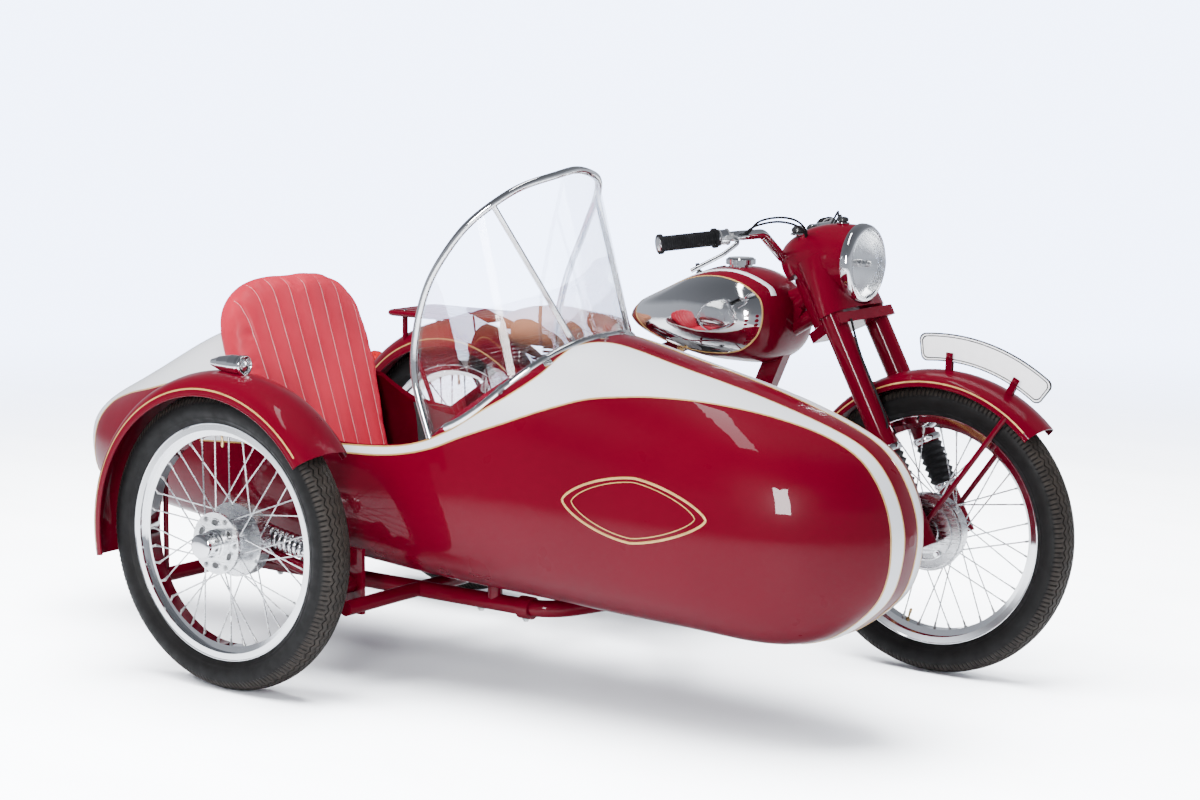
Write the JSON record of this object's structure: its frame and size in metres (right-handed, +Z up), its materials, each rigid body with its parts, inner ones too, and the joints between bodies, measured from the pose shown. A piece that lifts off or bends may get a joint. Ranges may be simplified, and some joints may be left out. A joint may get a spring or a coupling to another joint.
{
  "type": "sidecar motorcycle",
  "caption": "Motorcycle with a boat-shaped single-seat sidecar, wire wheels, curved windscreen, twin cylinders and turning front fork.",
  "frame": {"origin": "on the floor under the middle of the bounding box", "axes": "+X forward, +Y to the rider's left, +Z up; the sidecar is on the right, at -Y"},
  "size_m": [2.2559, 1.5127, 1.12],
  "materials": {
    "paint_red": "deep crimson gloss coat",
    "coupling_paint": "crimson gloss",
    "tyre_rubber": "matt black rubber",
    "bright_chrome": "bright plated",
    "hub_alloy": "polished casting",
    "barrel_iron": "grey cast fins",
    "black_rubber": "satin black rubber",
    "steel_black": "black enamel",
    "chain_steel": "oiled steel",
    "lamp_glass": "clear ribbed lens",
    "screen_glass": "clear sheet",
    "tail_red": "red lens",
    "plate_white": "blank white enamel",
    "saddle_leather": "tan grained leather",
    "seat_leather": "red leather with light piping",
    "seat_board": "dark stained board"
  },
  "bodies": {
    "chassis": {"frame": "paint_red", "rear_plungers": "paint_red", "crankcase": "hub_alloy", "cylinders": "barrel_iron", "cylinder_heads": "barrel_iron", "carburettor": "hub_alloy", "exhaust_right": "bright_chrome", "exhaust_left": "bright_chrome", "fuel_tank": "paint_red", "tank_cap": "bright_chrome", "saddle": "saddle_leather", "saddle_springs": "steel_black", "rear_mudguard": "paint_red", "luggage_rack": "paint_red", "rear_plate": "plate_white", "tail_lamp": "tail_red", "side_boxes": "paint_red", "footrests": "black_rubber", "brake_pedal": "steel_black", "kick_lever": "steel_black", "rear_chain": "chain_steel", "sidecar_nose": "paint_red", "sidecar_tub": "paint_red", "sidecar_tail": "paint_red", "windscreen_glass": "screen_glass", "windscreen_frame": "bright_chrome", "seat_back": "seat_leather", "seat_cushion": "seat_leather", "seat_base": "seat_board", "sidecar_mudguard": "paint_red", "marker_lamp": "bright_chrome", "sidecar_chassis": "paint_red", "trailing_arm": "paint_red", "coil_spring": "bright_chrome", "coupling_struts": "coupling_paint"},
    "steering": {"fork_yokes": "paint_red", "fork_legs": "paint_red", "fork_gaiters": "black_rubber", "front_axle": "steel_black", "front_brake_plate": "hub_alloy", "headlamp_shell": "paint_red", "headlamp_rim": "bright_chrome", "headlamp_lens": "lamp_glass", "handlebar": "bright_chrome", "grips": "black_rubber", "levers": "bright_chrome", "front_mudguard": "paint_red", "front_plate": "plate_white"},
    "front_wheel": {"front_tyre": "tyre_rubber", "front_rim": "bright_chrome", "front_hub": "hub_alloy"},
    "rear_wheel": {"rear_tyre": "tyre_rubber", "rear_rim": "bright_chrome", "rear_hub": "hub_alloy", "rear_sprocket": "chain_steel"},
    "sidecar_wheel": {"sidecar_tyre": "tyre_rubber", "sidecar_rim": "bright_chrome", "sidecar_hub": "hub_alloy"},
    "stand": {"centre_stand": "steel_black"}
  },
  "joints": [
    {"name": "steering", "type": "hinge", "parent": "chassis", "child": "steering", "pos_m": [0.48629, 0.38975, 0.805], "axis": [-0.4633, 0, 0.8862], "range_deg": [-35, 35]},
    {"name": "front_wheel", "type": "hinge", "parent": "steering", "child": "front_wheel", "pos_m": [0.8065, 0.38975, 0.322], "axis": [0, 1, 0], "continuous": true},
    {"name": "rear_wheel", "type": "hinge", "parent": "chassis", "child": "rear_wheel", "pos_m": [-0.5285, 0.38975, 0.322], "axis": [0, 1, 0], "continuous": true},
    {"name": "sidecar_wheel", "type": "hinge", "parent": "chassis", "child": "sidecar_wheel", "pos_m": [-0.3205, -0.66575, 0.322], "axis": [0, 1, 0], "continuous": true},
    {"name": "stand_fold", "type": "hinge", "parent": "chassis", "child": "stand", "pos_m": [-0.0985, 0.38975, 0.152], "axis": [0, -1, 0], "range_deg": [0, 95], "stiffness_Nm_per_rad": 4, "springref_deg": -51.57}
  ]
}
